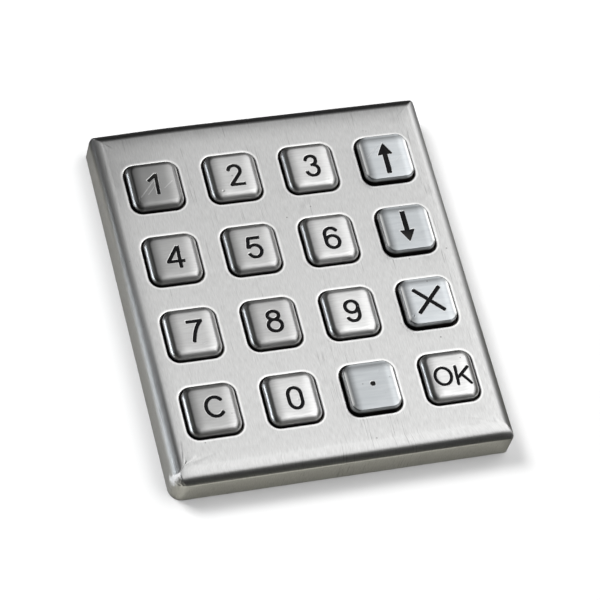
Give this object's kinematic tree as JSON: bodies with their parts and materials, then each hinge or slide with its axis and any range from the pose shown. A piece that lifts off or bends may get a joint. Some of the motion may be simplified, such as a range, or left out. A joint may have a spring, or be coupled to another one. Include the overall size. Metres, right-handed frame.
{
  "type": "keypad access reader",
  "caption": "Flat stainless steel keypad with square push keys in a grid, a folded plate with upright rims, and a recessed back plate with threaded corner bushes.",
  "frame": {"origin": "middle of the plane of the plate's rear rim, which rests on the wall, under the middle of the key field", "axes": "+X to the right along a row of keys, +Y up the plate towards the first row, +Z out of the plate through the keys"},
  "size_m": [0.0856, 0.0978, 0.0119],
  "materials": {
    "plate_steel": "stainless steel with a fine grain up the plate, small pits and light scratches",
    "key_steel": "stainless steel with a fine grain across the key and polished round edges, legend cut in and filled black",
    "flat_key_steel": "matt blue-grey steel with crisp edges, legend cut in and filled black",
    "gasket_rubber": "matt black rubber",
    "frame_plastic": "moulded black plastic",
    "mat_silicone": "translucent grey silicone",
    "board_laminate": "green circuit board laminate",
    "carbon_print": "matt black carbon",
    "chip_resin": "moulded black resin",
    "tinned_leads": "tinned metal",
    "header_nylon": "cream nylon",
    "gold_pins": "gold-plated pins",
    "back_aluminium": "satin aluminium",
    "fixing_steel": "plain turned steel"
  },
  "bodies": {
    "housing": {"front_plate": "plate_steel", "plate_gasket": "gasket_rubber", "guide_frame": "frame_plastic", "key_mat": "mat_silicone", "circuit_board": "board_laminate", "contact_pads": "carbon_print", "controller_chip": "chip_resin", "chip_leads": "tinned_leads", "row_resistors": "chip_resin", "header_shell": "header_nylon", "header_pins": "gold_pins", "back_plate": "back_aluminium", "back_seal": "gasket_rubber", "pillars": "fixing_steel", "spacers": "header_nylon", "back_screws": "fixing_steel", "mount_bushes": "fixing_steel"},
    "button_1": {"key_1": "key_steel", "pill_1": "carbon_print"},
    "button_2": {"key_2": "key_steel", "pill_2": "carbon_print"},
    "button_3": {"key_3": "key_steel", "pill_3": "carbon_print"},
    "button_up": {"key_up": "flat_key_steel", "pill_up": "carbon_print"},
    "button_4": {"key_4": "key_steel", "pill_4": "carbon_print"},
    "button_5": {"key_5": "key_steel", "pill_5": "carbon_print"},
    "button_6": {"key_6": "key_steel", "pill_6": "carbon_print"},
    "button_down": {"key_down": "flat_key_steel", "pill_down": "carbon_print"},
    "button_7": {"key_7": "key_steel", "pill_7": "carbon_print"},
    "button_8": {"key_8": "key_steel", "pill_8": "carbon_print"},
    "button_9": {"key_9": "key_steel", "pill_9": "carbon_print"},
    "button_cross": {"key_cross": "flat_key_steel", "pill_cross": "carbon_print"},
    "button_clear": {"key_clear": "key_steel", "pill_clear": "carbon_print"},
    "button_0": {"key_0": "key_steel", "pill_0": "carbon_print"},
    "button_point": {"key_point": "flat_key_steel", "pill_point": "carbon_print"},
    "button_ok": {"key_ok": "key_steel", "pill_ok": "carbon_print"}
  },
  "joints": [
    {"name": "press_1", "type": "slide", "parent": "housing", "child": "button_1", "axis": [0, 0, -1], "range_m": [0, 0.001], "stiffness_N_per_m": 1000, "springref_m": -0.0006, "deforming": ["key_mat"]},
    {"name": "press_2", "type": "slide", "parent": "housing", "child": "button_2", "axis": [0, 0, -1], "range_m": [0, 0.001], "stiffness_N_per_m": 1000, "springref_m": -0.0006, "deforming": ["key_mat"]},
    {"name": "press_3", "type": "slide", "parent": "housing", "child": "button_3", "axis": [0, 0, -1], "range_m": [0, 0.001], "stiffness_N_per_m": 1000, "springref_m": -0.0006, "deforming": ["key_mat"]},
    {"name": "press_up", "type": "slide", "parent": "housing", "child": "button_up", "axis": [0, 0, -1], "range_m": [0, 0.001], "stiffness_N_per_m": 1000, "springref_m": -0.0006, "deforming": ["key_mat"]},
    {"name": "press_4", "type": "slide", "parent": "housing", "child": "button_4", "axis": [0, 0, -1], "range_m": [0, 0.001], "stiffness_N_per_m": 1000, "springref_m": -0.0006, "deforming": ["key_mat"]},
    {"name": "press_5", "type": "slide", "parent": "housing", "child": "button_5", "axis": [0, 0, -1], "range_m": [0, 0.001], "stiffness_N_per_m": 1000, "springref_m": -0.0006, "deforming": ["key_mat"]},
    {"name": "press_6", "type": "slide", "parent": "housing", "child": "button_6", "axis": [0, 0, -1], "range_m": [0, 0.001], "stiffness_N_per_m": 1000, "springref_m": -0.0006, "deforming": ["key_mat"]},
    {"name": "press_down", "type": "slide", "parent": "housing", "child": "button_down", "axis": [0, 0, -1], "range_m": [0, 0.001], "stiffness_N_per_m": 1000, "springref_m": -0.0006, "deforming": ["key_mat"]},
    {"name": "press_7", "type": "slide", "parent": "housing", "child": "button_7", "axis": [0, 0, -1], "range_m": [0, 0.001], "stiffness_N_per_m": 1000, "springref_m": -0.0006, "deforming": ["key_mat"]},
    {"name": "press_8", "type": "slide", "parent": "housing", "child": "button_8", "axis": [0, 0, -1], "range_m": [0, 0.001], "stiffness_N_per_m": 1000, "springref_m": -0.0006, "deforming": ["key_mat"]},
    {"name": "press_9", "type": "slide", "parent": "housing", "child": "button_9", "axis": [0, 0, -1], "range_m": [0, 0.001], "stiffness_N_per_m": 1000, "springref_m": -0.0006, "deforming": ["key_mat"]},
    {"name": "press_cross", "type": "slide", "parent": "housing", "child": "button_cross", "axis": [0, 0, -1], "range_m": [0, 0.001], "stiffness_N_per_m": 1000, "springref_m": -0.0006, "deforming": ["key_mat"]},
    {"name": "press_clear", "type": "slide", "parent": "housing", "child": "button_clear", "axis": [0, 0, -1], "range_m": [0, 0.001], "stiffness_N_per_m": 1000, "springref_m": -0.0006, "deforming": ["key_mat"]},
    {"name": "press_0", "type": "slide", "parent": "housing", "child": "button_0", "axis": [0, 0, -1], "range_m": [0, 0.001], "stiffness_N_per_m": 1000, "springref_m": -0.0006, "deforming": ["key_mat"]},
    {"name": "press_point", "type": "slide", "parent": "housing", "child": "button_point", "axis": [0, 0, -1], "range_m": [0, 0.001], "stiffness_N_per_m": 1000, "springref_m": -0.0006, "deforming": ["key_mat"]},
    {"name": "press_ok", "type": "slide", "parent": "housing", "child": "button_ok", "axis": [0, 0, -1], "range_m": [0, 0.001], "stiffness_N_per_m": 1000, "springref_m": -0.0006, "deforming": ["key_mat"]}
  ]
}
